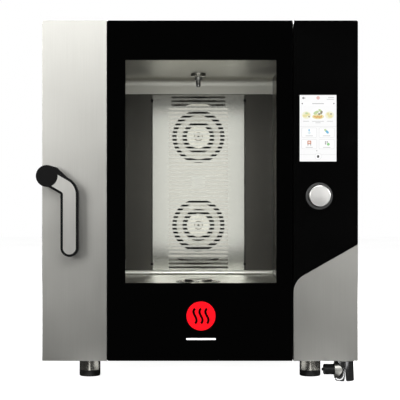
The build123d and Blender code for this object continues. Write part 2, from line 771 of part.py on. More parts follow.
bore_end_y = border_y + encoder_bore
with BuildPart() as encoder:
    block(grown((knob_x, knob_x), encoder_width / 2), (border_y, border_y + encoder_depth),
          grown((knob_z, knob_z), encoder_width / 2))
    lengthwise(knob_x, (border_y, bore_end_y), knob_z, knob_shaft_radius + running_clearance, Mode.SUBTRACT)
pieces["encoder"] = encoder

knob_back_y = front_y - knob_travel - knob_gap
knob_front_y = front_y - knob_reach
socket_y = knob_front_y + knob_socket
with BuildPart() as knob_shaft:
    lengthwise(knob_x, (socket_y, bore_end_y - knob_travel - knob_gap), knob_z, knob_shaft_radius)
pieces["knob_shaft"] = knob_shaft

with BuildPart() as control_knob:
    lengthwise(knob_x, (knob_front_y, knob_back_y), knob_z, knob_radius)
    chamfer(control_knob.edges().group_by(Axis.Y)[0], knob_chamfer)
    fillet(control_knob.edges().group_by(Axis.Y)[-1], knob_back_radius)
    lengthwise(knob_x, (knob_front_y, knob_front_y + knob_dish), knob_z, knob_radius - knob_rim,
               Mode.SUBTRACT)
    lengthwise(knob_x, (socket_y - fit_gap, knob_back_y), knob_z, knob_shaft_radius + running_clearance,
               Mode.SUBTRACT)
pieces["control_knob"] = control_knob

# Hinge: a plate and pin at the top and bottom, hidden behind the door glass
hinge_levels = ((top_z - hinge_recess + hinge_arm_gap, 1), (bottom_z + hinge_recess - hinge_arm_gap, -1))
arm_x = (hinge_x - hinge_arm_offset - hinge_arm_width, hinge_x - hinge_arm_offset)
plate_x = (hinge_x + 2 * hinge_pin_radius - hinge_foot_width, hinge_x + 2 * hinge_pin_radius)
with BuildPart() as hinge_brackets:
    for level, up in hinge_levels:
        arm_z = sorted((level, level + up * hinge_plate))
        plate_z = sorted((level - up * hinge_foot_height, level + up * hinge_plate))
        pin_z = sorted((level - up * hinge_pin_reach, level + up * hinge_plate))
        block(arm_x, (hinge_y - hinge_pin_radius, cabinet_y), arm_z)
        block(plate_x, (cabinet_y - frame_sheet, cabinet_y), plate_z)
        upright(hinge_x, hinge_y, pin_z, hinge_pin_radius)
pieces["hinge_brackets"] = hinge_brackets

with BuildPart() as hinge_bushes:
    for level, up in hinge_levels:
        bush_z = sorted((level - up * hinge_arm_gap, level - up * (hinge_pin_reach + bush_end)))
        block((hinge_x - bush_width, door_right_x - frame_sheet - fit_gap), (frame_y, hinge_y + bush_depth),
              bush_z)
        upright(hinge_x, hinge_y, bush_z, hinge_pin_radius + running_clearance, Mode.SUBTRACT)
pieces["hinge_bushes"] = hinge_bushes

with BuildPart() as latch_striker:
    block(grown((striker_x, striker_x), striker_plate / 2), (cabinet_y - frame_sheet, cabinet_y),
          grown((handle_z, handle_z), striker_plate / 2))
    lengthwise(striker_x, (door_back_y - striker_reach, cabinet_y - frame_sheet), handle_z, striker_radius)
    fillet(latch_striker.edges().group_by(Axis.Y)[0], striker_tip)
pieces["latch_striker"] = latch_striker

# The gasket starts just behind the arc that the door's rear corner swings through
gasket_reach = gasket_margin + gasket_width
with BuildPart() as door_gasket:
    block(grown(cavity_x, gasket_reach), (gasket_y, cabinet_y), grown(cavity_z, gasket_reach))
    block(grown(cavity_x, gasket_margin), (gasket_y, cabinet_y), grown(cavity_z, gasket_margin),
          Mode.SUBTRACT)
pieces["door_gasket"] = door_gasket

# Door: sheet frame, steel strip, clear outer glass with a black border, inner glass
frame_x = (left_x + sheet, door_right_x)
frame_z = (bottom_z + sheet, top_z - sheet)
opening_x = grown(window_x, reveal)
opening_z = grown(window_z, reveal)
with BuildPart() as door_frame:
    block(frame_x, (frame_y, door_back_y), frame_z)
    with BuildSketch(facing(frame_y)):
        with Locations(((frame_x[0] + frame_x[1]) / 2, (frame_z[0] + frame_z[1]) / 2)):
            Rectangle(frame_x[1] - frame_x[0] - 2 * frame_sheet, frame_z[1] - frame_z[0] - 2 * frame_sheet)
        with Locations(((opening_x[0] + opening_x[1]) / 2, (opening_z[0] + opening_z[1]) / 2)):
            Rectangle(opening_x[1] - opening_x[0] + 2 * frame_sheet,
                      opening_z[1] - opening_z[0] + 2 * frame_sheet, mode=Mode.SUBTRACT)
    extrude(amount=frame_sheet - (door_back_y - frame_y), mode=Mode.SUBTRACT)
    block(opening_x, (frame_y, door_back_y), opening_z, Mode.SUBTRACT)
    for level, up in hinge_levels:
        recess_z = sorted((level - up * hinge_arm_gap, level + up * hinge_recess))
        block((hinge_x - hinge_recess_width, door_right_x), (frame_y, door_back_y), recess_z, Mode.SUBTRACT)
    lengthwise(striker_x, (door_back_y - frame_sheet, door_back_y), handle_z, striker_hole_radius,
               Mode.SUBTRACT)
pieces["door_frame"] = door_frame

strip_x = (left_x, glass_left_x - strip_gap)
with BuildPart() as door_steel_strip:
    block(strip_x, (front_y, door_back_y), (bottom_z, top_z))
    fillet(door_steel_strip.edges().filter_by(Axis.Z).group_by(Axis.Y)[0], strip_fold_radius)
    block((strip_x[0] + sheet, strip_x[1] - sheet), (front_y + sheet, door_back_y), frame_z, Mode.SUBTRACT)
    block((strip_x[1] - sheet, strip_x[1]), (frame_y, door_back_y), (bottom_z, top_z), Mode.SUBTRACT)
    lengthwise(handle_x, (front_y, front_y + sheet), handle_z, handle_shaft_radius + bush_wall, Mode.SUBTRACT)
pieces["door_steel_strip"] = door_steel_strip

with BuildPart() as outer_glass:
    block((glass_left_x, door_right_x), (front_y, border_y), (bottom_z, top_z))
    fillet(outer_glass.edges().filter_by(Axis.Y).group_by(Axis.X)[0], glass_corner)
pieces["outer_glass"] = outer_glass

with BuildPart() as glass_border:
    block((glass_left_x, door_right_x), (border_y, frame_y), (bottom_z, top_z))
    fillet(glass_border.edges().filter_by(Axis.Y).group_by(Axis.X)[0], glass_corner)
    block(window_x, (border_y, frame_y), window_z, Mode.SUBTRACT)
pieces["glass_border"] = glass_border

inner_glass_y = door_back_y - frame_sheet - inner_glass_seat
pane_back_y = inner_glass_y + glass
with BuildPart() as inner_glass:
    block(grown(opening_x, -fit_gap), (inner_glass_y, pane_back_y), grown(opening_z, -fit_gap))
pieces["inner_glass"] = inner_glass

with BuildPart() as glass_clips:
    for clip_x in ((opening_x[0], opening_x[0] + clip_width), (opening_x[1] - clip_width, opening_x[1])):
        for z in grown(opening_z, -clip_inset):
            block(clip_x, (pane_back_y, pane_back_y + clip_depth), grown((z, z), clip_height / 2))
pieces["glass_clips"] = glass_clips

# Plain round badge with three rising steam waves cut through
with BuildPart() as badge:
    with BuildSketch(facing(front_y, badge_x, badge_z)):
        Circle(badge_radius)
        for x in (-wave_pitch, 0, wave_pitch):
            with BuildLine():
                wave = Spline((x, -wave_height / 2), (x + wave_sway, -wave_height / 4), (x, 0),
                              (x - wave_sway, wave_height / 4), (x, wave_height / 2))
            trace(wave, line_width=wave_width, mode=Mode.SUBTRACT)
    extrude(amount=badge_thickness)
pieces["badge"] = badge

# Handle: a boss on the turning shaft, a bent grip with a steel inlay, and the latch inside the door
lever_slope = Vector(1, 0).rotate(Axis.Z, lever_angle)
lever_drop = lever_run * lever_slope.Y / lever_slope.X
grip_end_z = handle_z - grip_drop
handle_front_y = front_y - handle_reach
shaft_end_y = handle_front_y + handle_socket


def lever_face(width):
    # Bent stroke of constant width with a round lower end.
    with BuildSketch(facing(handle_front_y)) as face:
        with BuildLine():
            stroke = FilletPolyline((handle_x, handle_z), (grip_x, handle_z - lever_drop),
                                    (grip_x, grip_end_z), radius=lever_bend)
        trace(stroke, line_width=width)
        with Locations((grip_x, grip_end_z)):
            Circle(width / 2)
    return face.sketch


def shoulder_face():
    # Web that blends the round boss into the outer side of the bend.
    with BuildSketch(facing(handle_front_y)) as face:
        with BuildLine():
            Polyline((handle_x, handle_z), (handle_x + shoulder_start[0], handle_z + shoulder_start[1]),
                     (handle_x + shoulder_top[0], handle_z + shoulder_top[1]),
                     (grip_x + shoulder_end[0], handle_z + shoulder_end[1]),
                     (grip_x - shoulder_end[0] / 2, handle_z - lever_drop), close=True)
        make_face()
        fillet(face.vertices().group_by(Axis.Y)[-2], shoulder_radius)
    return face.sketch


with BuildPart() as handle_grip:
    extrude(lever_face(grip_width), amount=-grip_thickness)
    extrude(shoulder_face(), amount=-grip_thickness)
    lengthwise(handle_x, (handle_front_y, front_y - handle_gap), handle_z, boss_radius)
    extrude(lever_face(inlay_width), amount=-inlay_depth, mode=Mode.SUBTRACT)
    lengthwise(handle_x, (handle_front_y, handle_front_y + inlay_depth), handle_z, boss_radius)
    lengthwise(handle_x, (shaft_end_y, front_y), handle_z, handle_shaft_radius, Mode.SUBTRACT)
pieces["handle_grip"] = handle_grip

with BuildPart() as handle_inlay:
    extrude(lever_face(inlay_width), amount=-inlay_depth)
    lengthwise(handle_x, (handle_front_y, handle_front_y + inlay_depth), handle_z, boss_radius, Mode.SUBTRACT)
pieces["handle_inlay"] = handle_inlay

latch_y = (door_back_y - latch_setback, door_back_y - latch_setback + latch_plate)
with BuildPart() as handle_shaft:
    lengthwise(handle_x, (shaft_end_y, latch_y[1] + frame_sheet), handle_z, handle_shaft_radius)
pieces["handle_shaft"] = handle_shaft

# Latch plate: a hub on the shaft and a finger that closes round the outside of the striker
finger_inside = striker_offset + striker_radius + latch_clearance
finger_radius = finger_inside + finger_width
with BuildPart() as latch_hook:
    with BuildSketch(facing(latch_y[0], handle_x, handle_z)):
        with BuildLine():
            finger_side = PolarLine((0, 0), finger_radius, finger_low_angle)
            web_side = PolarLine((0, 0), finger_radius, finger_high_angle)
            RadiusArc(finger_side @ 1, web_side @ 1, -finger_radius)
        make_face()
    extrude(amount=-latch_plate)
    with BuildSketch(facing(latch_y[0], handle_x, handle_z)):
        with BuildLine():
            slot_side = PolarLine((0, 0), finger_inside, slot_low_angle)
            slot_root = PolarLine((0, 0), finger_inside, slot_high_angle)
            RadiusArc(slot_side @ 1, slot_root @ 1, -finger_inside)
        make_face()
    extrude(amount=-latch_plate, mode=Mode.SUBTRACT)
    lengthwise(handle_x, latch_y, handle_z, latch_hub_radius)
    lengthwise(handle_x, latch_y, handle_z, handle_shaft_radius, Mode.SUBTRACT)
pieces["latch_hook"] = latch_hook

bush_y = (front_y, front_y + handle_bush_length)
with BuildPart() as handle_bush:
    lengthwise(handle_x, bush_y, handle_z, handle_shaft_radius + bush_wall)
    lengthwise(handle_x, (front_y + sheet, frame_y), handle_z, handle_shaft_radius + bush_flange)
    lengthwise(handle_x, bush_y, handle_z, handle_shaft_radius + running_clearance, Mode.SUBTRACT)
pieces["handle_bush"] = handle_bush

# Wash-down spray parked under the front corner: bracket, open chrome bell and a ribbed valve knob
spray_z = (bottom_z - spray_drop, bottom_z)
spray_knob_z = bottom_z - spray_knob_drop
crown_z = bottom_z - spray_crown
saddle_x = (spray_x - spray_radius - saddle_margin, spray_x)
spray_knob_x = (saddle_x[0] - fit_gap - spray_knob_length, saddle_x[0] - fit_gap)
spindle_x = spray_knob_x[0] + spindle_inset
with BuildPart() as spray_bracket:
    upright(spray_x, spray_y, (crown_z, bottom_z), spray_radius - spray_wall)
    crosswise(saddle_x, spray_y, spray_knob_z, saddle_radius)
    upright(spray_x, spray_y, (spray_z[0] - sheet, crown_z), spray_radius, Mode.SUBTRACT)
    block((spray_knob_x[0] + spray_knob_edge, spray_x), grown((spray_y, spray_y), bracket_width / 2),
          (crown_z, bottom_z))
    crosswise((spindle_x, saddle_x[0] + saddle_margin / 2), spray_y, spray_knob_z, spindle_radius)
pieces["spray_bracket"] = spray_bracket

with BuildPart() as spray_bell:
    with BuildSketch(Plane.XZ.offset(-spray_y)):
        with BuildLine():
            Polyline((spray_x, spray_z[0]), (spray_x + spray_radius, spray_z[0]),
                     (spray_x + spray_radius - spray_taper, crown_z), (spray_x, crown_z), close=True)
        make_face()
    revolve(axis=Axis((spray_x, spray_y, 0), (0, 0, 1)))
    upright(spray_x, spray_y, (spray_z[0], crown_z - spray_roof), spray_radius - spray_wall - spray_taper,
            Mode.SUBTRACT)
pieces["spray_bell"] = spray_bell

with BuildPart() as spray_knob:
    crosswise(spray_knob_x, spray_y, spray_knob_z, spray_knob_radius)
    fillet(spray_knob.edges().group_by(Axis.X)[0], spray_knob_edge)
    with Locations(Location((spray_knob_x[0] + spray_knob_edge, spray_y, spray_knob_z), (0, 90, 0))):
        with PolarLocations(spray_knob_radius + spray_rib_offset, spray_knob_ribs):
            Cylinder(spray_rib_radius, spray_rib_length, align=(Align.CENTER, Align.CENTER, Align.MIN),
                     mode=Mode.SUBTRACT)
    crosswise((spray_knob_x[0] - spray_tip, spray_knob_x[0] + sheet), spray_y, spray_knob_z, spindle_radius)
    crosswise((spindle_x - fit_gap, spray_knob_x[1]), spray_y, spray_knob_z,
              spindle_radius + running_clearance, Mode.SUBTRACT)
pieces["spray_knob"] = spray_knob

# Feet: steel sleeves under the base tray and black adjusters that screw down out of them
with BuildPart() as foot_sleeves:
    for foot_x, foot_y in foot_places.values():
        upright(foot_x, foot_y, (foot_pad + fit_gap, bottom_z), foot_radius)
        upright(foot_x, foot_y, (foot_pad + fit_gap, bottom_z), foot_radius - sleeve_wall, Mode.SUBTRACT)
pieces["foot_sleeves"] = foot_sleeves

for name, (foot_x, foot_y) in foot_places.items():
    with BuildPart() as foot:
        upright(foot_x, foot_y, (0, foot_pad), foot_radius)
        fillet(foot.edges().group_by(Axis.Z)[0], foot_edge)
        upright(foot_x, foot_y, (foot_pad, bottom_z + foot_stem_rise), foot_stem_radius)
    pieces[f"foot_{name}"] = foot

os.makedirs("parts", exist_ok=True)
for label, piece in pieces.items():
    piece.part.label = label
    export_step(piece.part, f"parts/{label}.step")
print(len(pieces), "pieces")
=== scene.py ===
import math
import bpy
import bmesh
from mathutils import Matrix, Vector


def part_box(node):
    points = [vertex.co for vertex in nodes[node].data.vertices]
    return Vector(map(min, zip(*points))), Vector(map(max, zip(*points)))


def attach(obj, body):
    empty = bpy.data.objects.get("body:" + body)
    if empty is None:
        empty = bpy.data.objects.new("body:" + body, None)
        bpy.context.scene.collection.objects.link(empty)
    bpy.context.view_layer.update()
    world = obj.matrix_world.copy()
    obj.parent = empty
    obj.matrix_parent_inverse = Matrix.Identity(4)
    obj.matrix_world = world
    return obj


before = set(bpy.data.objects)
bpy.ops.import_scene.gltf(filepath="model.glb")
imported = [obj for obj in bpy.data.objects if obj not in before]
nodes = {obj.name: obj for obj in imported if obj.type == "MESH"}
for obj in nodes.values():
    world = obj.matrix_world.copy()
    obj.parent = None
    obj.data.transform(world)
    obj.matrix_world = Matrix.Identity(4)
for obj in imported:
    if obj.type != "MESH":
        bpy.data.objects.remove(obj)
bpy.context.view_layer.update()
mm = 0.001

# Planes of the oven that the rest of the script hangs on, all read from the frame
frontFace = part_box("outer_glass")[0].y
midX = (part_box("top_panel")[0].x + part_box("top_panel")[1].x) / 2


def hexToLinear(code):
    channels = [int(code[i:i + 2], 16) / 255 for i in (1, 3, 5)]
    return tuple(c / 12.92 if c <= 0.04045 else ((c + 0.055) / 1.055) ** 2.4 for c in channels) + (1.0,)


def addNode(tree, kind, settings=None, inputs=None):
    # One node: plain settings by name, inputs as values or as the socket that feeds them
    node = tree.nodes.new(kind)
    for name, value in (settings or {}).items():
        setattr(node, name, value)
    for name, value in (inputs or {}).items():
        if isinstance(value, bpy.types.NodeSocket):
            tree.links.new(value, node.inputs[name])
        else:
            node.inputs[name].default_value = value
    return node


def startMaterial(name, uniform):
    # A surface shader with its uniform values set straight on its sockets
    material = bpy.data.materials.new(name)
    material.use_nodes = True
    tree = material.node_tree
    tree.nodes.clear()
    surface = addNode(tree, "ShaderNodeBsdfPrincipled", inputs=uniform)
    addNode(tree, "ShaderNodeOutputMaterial", inputs={"Surface": surface.outputs["BSDF"]})
    place = addNode(tree, "ShaderNodeTexCoord").outputs["Object"]
    return material, tree, surface, place


def stretchedNoise(tree, place, sizes, detail=3.0):
    # Noise whose blobs measure sizes = (x, y, z) in metres
    scaled = addNode(tree, "ShaderNodeMapping", inputs={"Vector": place, "Scale": [1 / s for s in sizes]})
    noise = addNode(tree, "ShaderNodeTexNoise", inputs={"Vector": scaled.outputs["Vector"], "Scale": 1.0,
                                                        "Detail": detail, "Roughness": 0.55})
    return noise.outputs["Fac"]


# Sockets of the colour mixer, which has one set for each kind of value
mixer = {"factor": 0, "darker": 6, "lighter": 7, "result": 2}
middle = (0.3, 0.7)  # the part of a noise's range that it mostly stays in


def dressSurface(tree, surface, pattern, colours=None, gloss=None, bump=None, depth=0.2 * mm,
                 glossPattern=None, span=middle, paint="Base Color"):
    # What a pattern does to a surface: colour between two shades, gloss between two values, height
    if colours:
        mix = addNode(tree, "ShaderNodeMix", {"data_type": "RGBA"},
                      {mixer["factor"]: pattern, mixer["darker"]: hexToLinear(colours[0]),
                       mixer["lighter"]: hexToLinear(colours[1])})
        tree.links.new(mix.outputs[mixer["result"]], surface.inputs[paint])
    if gloss:
        ranged = addNode(tree, "ShaderNodeMapRange",
                         inputs={"Value": glossPattern or pattern, "From Min": span[0], "From Max": span[1],
                                 "To Min": gloss[0], "To Max": gloss[1]})
        tree.links.new(ranged.outputs["Result"], surface.inputs["Roughness"])
    if bump:
        raised = addNode(tree, "ShaderNodeBump",
                         inputs={"Height": bump[0], "Strength": bump[1], "Distance": depth})
        tree.links.new(raised.outputs["Normal"], surface.inputs["Normal"])


def radiusFrom(tree, place, centre):
    # Distance from a part's own axis, which runs front to back
    away = addNode(tree, "ShaderNodeVectorMath", {"operation": "SUBTRACT"}, {0: place, 1: centre})
    flat = addNode(tree, "ShaderNodeVectorMath", {"operation": "MULTIPLY"},
                   {0: away.outputs[0], 1: (1, 0, 1)})
    length = addNode(tree, "ShaderNodeVectorMath", {"operation": "LENGTH"}, {0: flat.outputs[0]})
    return length.outputs["Value"]


sheet = {"clouds": (0.22, 0.22, 0.18), "fine": 0.35, "grainShare": 0.6, "cloudShare": 0.4}


def sheetSteel(name, look):
    # AISI 304 sheet: grain lines along one axis and cloudy wiping marks, seen as brushed metal
    material, tree, surface, place = startMaterial(name, {"Metallic": 1.0})
    grain = stretchedNoise(tree, place, look["grain"])
    clouds = stretchedNoise(tree, place, sheet["clouds"], detail=2.0)
    fine = stretchedNoise(tree, place, [s * sheet["fine"] for s in look["grain"]], detail=1.0)
    cloudPart = addNode(tree, "ShaderNodeMath", {"operation": "MULTIPLY"},
                        {0: clouds, 1: sheet["cloudShare"]})
    tone = addNode(tree, "ShaderNodeMath", {"operation": "MULTIPLY_ADD"},
                   {0: grain, 1: sheet["grainShare"], 2: cloudPart.outputs[0]}).outputs[0]
    dressSurface(tree, surface, tone, (look["darker"], look["lighter"]), look["gloss"], (fine, look["bump"]))
    return material


def mouldedPlastic(name, look):
    # Moulded nylon or silicone: spark-eroded grain breaks up the sheen, so it looks warm and soft
    material, tree, surface, place = startMaterial(name, {"Metallic": 0.0, "IOR": 1.5,
                                                          "Specular IOR Level": look["shine"]})
    grain = stretchedNoise(tree, place, (look["grain"],) * 3)
    haze = stretchedNoise(tree, place, (0.04, 0.04, 0.04), detail=1.0)
    dressSurface(tree, surface, grain, (look["darker"], look["lighter"]), look["gloss"],
                 (grain, look["bump"]), 0.3 * mm, glossPattern=haze)
    return material


# The grain of real sheet is about 0.1 mm wide; here it is 1 to 3 mm wide, the finest that still shows
sheetLooks = {
    # Brushed upright: soft light that fades down the strip
    "doorSteel": {"grain": (0.0012, 0.01, 0.16), "darker": "#C4C3BD", "lighter": "#DAD9D3",
                  "gloss": (0.33, 0.4), "bump": 0.06},
    # Brushed sideways: a wide, dull shine
    "cabinetSteel": {"grain": (0.16, 0.16, 0.0015), "darker": "#BDBCB6", "lighter": "#D2D1CB",
                     "gloss": (0.34, 0.42), "bump": 0.08},
    # Mill finish, even and greyer
    "plainSteel": {"grain": (0.02, 0.02, 0.02), "darker": "#A9A8A3", "lighter": "#BDBCB7",
                   "gloss": (0.35, 0.45), "bump": 0.05},
    # Rolled smooth and wiped: a clearer mirror
    "cavitySteel": {"grain": (0.12, 0.12, 0.004), "darker": "#B4B2AA", "lighter": "#C6C4BC",
                    "gloss": (0.2, 0.26), "bump": 0.01},
    # Painted light: a lighter copy of the cavity steel, and rougher, so it glows instead of mirroring
    "ceilingSteelPaintedLight": {"grain": (0.12, 0.12, 0.004), "darker": "#D8D6CE", "lighter": "#E4E2DA",
                     "gloss": (0.42, 0.48), "bump": 0.01},
    # Painted light: the same sheet as a lighter copy, brighter than the ceiling
    "floorSteelPaintedLight": {"grain": (0.12, 0.12, 0.004), "darker": "#E2E1DA", "lighter": "#EEEDE7",
                   "gloss": (0.3, 0.36), "bump": 0.01},
    # Painted shade: the same sheet as a dark copy, so it is dark beside the baffle
    "wallSteelPaintedShade": {"grain": (0.12, 0.12, 0.004), "darker": "#53514C", "lighter": "#5A5853",
                  "gloss": (0.3, 0.34), "bump": 0.01},
    # The brightest and smoothest sheet in the cavity
    "baffleSteel": {"grain": (0.12, 0.12, 0.003), "darker": "#CFCEC6", "lighter": "#DEDDD6",
                    "gloss": (0.16, 0.2), "bump": 0.01},
    # Behind the baffle: smooth, with a film of grease
    "chamberSteel": {"grain": (0.12, 0.12, 0.004), "darker": "#9C9A93", "lighter": "#A8A69F",
                     "gloss": (0.2, 0.26), "bump": 0.01},
    # Screws blackened by heat, read as dots
    "blackenedSteel": {"grain": (0.002, 0.002, 0.002), "darker": "#101010", "lighter": "#181818",
                       "gloss": (0.4, 0.5), "bump": 0.05},
    # Folded frame, painted dark so that the window's edge vanishes
    "frameSteel": {"grain": (0.02, 0.02, 0.02), "darker": "#1C1C1B", "lighter": "#262624",
                   "gloss": (0.5, 0.6), "bump": 0.05},
    # Drawn tube with upright streaks
    "sleeveSteel": {"grain": (0.003, 0.003, 0.05), "darker": "#BDBBB2", "lighter": "#D2D0C7",
                    "gloss": (0.2, 0.28), "bump": 0.04},
    # Brushed along the grip
    "inlaySteel": {"grain": (0.0015, 0.01, 0.08), "darker": "#CFCEC8", "lighter": "#DEDDD8",
                   "gloss": (0.34, 0.4), "bump": 0.05},
}
plasticLooks = {
    # Deep black with hardly any shine
    "handleNylon": {"grain": 0.0009, "darker": "#020202", "lighter": "#060606",
                    "gloss": (0.42, 0.5), "bump": 0.15, "shine": 0.15},
    # Scuffed and matt
    "footNylon": {"grain": 0.0012, "darker": "#050505", "lighter": "#0C0C0C",
                  "gloss": (0.5, 0.6), "bump": 0.2, "shine": 0.3},
    # Dark grey, a little brighter than the glass round it
    "bezelNylon": {"grain": 0.0008, "darker": "#2C2C2C", "lighter": "#3A3A3A",
                   "gloss": (0.4, 0.5), "bump": 0.1, "shine": 0.5},
    # Black with a soft sheen on its ribs
    "knobNylon": {"grain": 0.001, "darker": "#060606", "lighter": "#0D0D0D",
                  "gloss": (0.45, 0.55), "bump": 0.2, "shine": 0.4},
    # Dull and slightly grey
    "siliconeRubber": {"grain": 0.002, "darker": "#141414", "lighter": "#1E1E1E",
                       "gloss": (0.6, 0.7), "bump": 0.2, "shine": 0.4},
}


def glassMaterial(name):
    # Float glass: clear with a faint green body, and a mirror-smooth face with wiping marks
    material, tree, surface, place = startMaterial(name, {"Base Color": hexToLinear("#FEFFFE"), "IOR": 1.5,
                                                          "Transmission Weight": 1.0})
    wipe = stretchedNoise(tree, place, (0.3, 0.3, 0.12), detail=2.0)
    dressSurface(tree, surface, wipe, gloss=(0.0, 0.012), span=(0.45, 0.8))
    return material


def blackBackedGlass(name):
    # Glass with fired black enamel behind: deep black, with only a thin mirror reflection
    material, tree, surface, place = startMaterial(name, {"IOR": 1.5, "Metallic": 0.0})
    wipe = stretchedNoise(tree, place, (0.2, 0.2, 0.1), detail=2.0)
    dressSurface(tree, surface, wipe, ("#010101", "#030303"), (0.03, 0.06))
    return material


def enamelMaterial(name, darker, lighter, gloss, shine=0.5):
    # Fired enamel or baked powder: even colour, softened by the slight orange peel of the coat
    material, tree, surface, place = startMaterial(name, {"IOR": 1.5, "Metallic": 0.0,
                                                          "Specular IOR Level": shine})
    peel = stretchedNoise(tree, place, (0.004, 0.004, 0.004), detail=2.0)
    dressSurface(tree, surface, peel, (darker, lighter), gloss, (peel, 0.05))
    return material


def turnedMetal(name, darker, lighter, gloss, centre, ringWidth, bump):
    # Metal faced on a lathe: fine rings about its own axis draw the light out into a fan
    material, tree, surface, place = startMaterial(name, {"Metallic": 1.0, "Anisotropic": 0.3})
    rings = addNode(tree, "ShaderNodeTexNoise", {"noise_dimensions": "1D"},
                    {"W": radiusFrom(tree, place, centre), "Scale": 1 / ringWidth, "Detail": 2.0})
    ring = rings.outputs["Fac"]
    tangent = addNode(tree, "ShaderNodeTangent", {"direction_type": "RADIAL", "axis": "Y"})
    tree.links.new(tangent.outputs["Tangent"], surface.inputs["Tangent"])
    dressSurface(tree, surface, ring, (darker, lighter), gloss, (ring, bump), 0.1 * mm)
    return material


# Each band starts at this radius: screw hole, cap, cap edge, hub, groove, disc, mouth's edge, ring. The dark
# screw hole, cap edge, groove and mouth's edge are painted shade
wheelLook = {
    "radius": 0.105, "haze": (0.03, 0.03, 0.03), "film": "#DCDAD4", "gloss": (0.25, 0.34),
    "bands": [(0.0, "#050505"), (0.0032, "#B9B7AF"), (0.0118, "#3A3936"), (0.0132, "#C6C4BC"),
              (0.0365, "#050505"), (0.0505, "#C6C4BC"), (0.07, "#040404"), (0.084, "#B0AEA6")],
}


def spunSteelPaintedShade(name, centre):
    # Wheel spun and pressed from sheet, with painted shade: the groove round the hub and the mouth's edge
    # are coloured near black, the cap's edge dark and the screw hole black, where shadow falls
    material, tree, surface, place = startMaterial(name, {"Metallic": 1.0})
    share = addNode(tree, "ShaderNodeMath", {"operation": "DIVIDE"},
                    {0: radiusFrom(tree, place, centre), 1: wheelLook["radius"]})
    bands = addNode(tree, "ShaderNodeValToRGB", inputs={"Fac": share.outputs[0]})
    bands.color_ramp.interpolation = "CONSTANT"
    stops = bands.color_ramp.elements
    for i, (start, code) in enumerate(wheelLook["bands"]):
        part = start / wheelLook["radius"]
        stop = stops[i] if i < 2 else stops.new(part)
        stop.position = part
        stop.color = hexToLinear(code)
    haze = stretchedNoise(tree, place, wheelLook["haze"])
    worn = addNode(tree, "ShaderNodeMix", {"data_type": "RGBA", "blend_type": "MULTIPLY"},
                   {mixer["factor"]: haze, mixer["darker"]: bands.outputs["Color"],
                    mixer["lighter"]: hexToLinear(wheelLook["film"])})
    tree.links.new(worn.outputs[mixer["result"]], surface.inputs["Base Color"])
    dressSurface(tree, surface, haze, gloss=wheelLook["gloss"], bump=(haze, 0.03))
    return material


def chromePlate(name):
    # Polished chrome plate: a near mirror, cool white, that takes the shapes round it
    material, tree, surface, place = startMaterial(name, {"Metallic": 1.0})
    swirl = stretchedNoise(tree, place, (0.004, 0.004, 0.03), detail=2.0)
    dressSurface(tree, surface, swirl, ("#CFCFD0", "#DCDCDD"), (0.05, 0.1))
    return material


def machinedBrass(name):
    # Turned brass: warm yellow, with darker tarnish in patches
    material, tree, surface, place = startMaterial(name, {"Metallic": 1.0})
    tarnish = stretchedNoise(tree, place, (0.012, 0.012, 0.012))
    dressSurface(tree, surface, tarnish, ("#9A7A3E", "#C9A55A"), (0.25, 0.4))
    return material


def roughCasting(name, darker, lighter, metallic, gloss, grain):
    # Cast, oxidised or felted surface: mottled, matt and lightly pitted
    material, tree, surface, place = startMaterial(name, {"Metallic": metallic})
    pits = stretchedNoise(tree, place, (grain,) * 3)
    dressSurface(tree, surface, pits, (darker, lighter), gloss, (pits, 0.3), 0.5 * mm)
    return material


cells = {"size": 1.5 * mm, "contrast": 4}


def litPrint(name, code, glow):
    # A colour of the lit display picture, with the faint grain of the panel's cells
    material, tree, surface, place = startMaterial(name, {"Base Color": hexToLinear("#0A0A0A"),
                                                          "Roughness": 0.25, "IOR": 1.5})
    cell = stretchedNoise(tree, place, (cells["size"],) * 3, detail=1.0)
    channels = [min(255, int(code[i:i + 2], 16) + cells["contrast"]) for i in (1, 3, 5)]
    lighter = "#" + "".join(f"{channel:02X}" for channel in channels)
    dressSurface(tree, surface, cell, (code, lighter), paint="Emission Color")
    surface.inputs["Emission Strength"].default_value = glow
    return material


print("materials")
knobCentre = (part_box("control_knob")[0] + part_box("control_knob")[1]) / 2
materials = {name: sheetSteel(name, look) for name, look in sheetLooks.items()}
materials.update({name: mouldedPlastic(name, look) for name, look in plasticLooks.items()})
materials["floatGlass"] = glassMaterial("floatGlass")
materials["blackGlass"] = blackBackedGlass("blackGlass")
materials["blackEnamel"] = enamelMaterial("blackEnamel", "#010101", "#020202", (0.3, 0.4))
materials["redEnamel"] = enamelMaterial("redEnamel", "#E00010", "#E80014", (0.5, 0.56), 0.08)
materials["whiteEnamel"] = enamelMaterial("whiteEnamel", "#F2F2F2", "#FAFAFA", (0.3, 0.36))
materials["turnedAluminium"] = turnedMetal("turnedAluminium", "#F0EFEB", "#FAF9F6", (0.34, 0.42), knobCentre,
                                           0.0006, 0.04)
# Each wheel's steel carries painted shade: dark rings round its own axis
for wheel in ("upper", "lower"):
    low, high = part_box(wheel + "_fan_wheel")
    materials[wheel + "SpunSteel"] = spunSteelPaintedShade(wheel + "SpunSteel", (low + high) / 2)
materials["chromePlate"] = chromePlate("chromePlate")
materials["machinedBrass"] = machinedBrass("machinedBrass")
materials["oxidisedAlloy"] = roughCasting("oxidisedAlloy", "#3A3733", "#57534C", 1.0, (0.45, 0.6), 0.004)
materials["castAluminium"] = roughCasting("castAluminium", "#7E8082", "#9A9C9E", 1.0, (0.45, 0.6), 0.003)
materials["mineralWool"] = roughCasting("mineralWool", "#A89A72", "#C9BC95", 0.0, (0.9, 1.0), 0.006)
materials["displayWhite"] = litPrint("displayWhite", "#F8F8F8", 1.0)
materials["blackPowderCoat"] = enamelMaterial("blackPowderCoat", "#030303", "#060606", (0.5, 0.6))

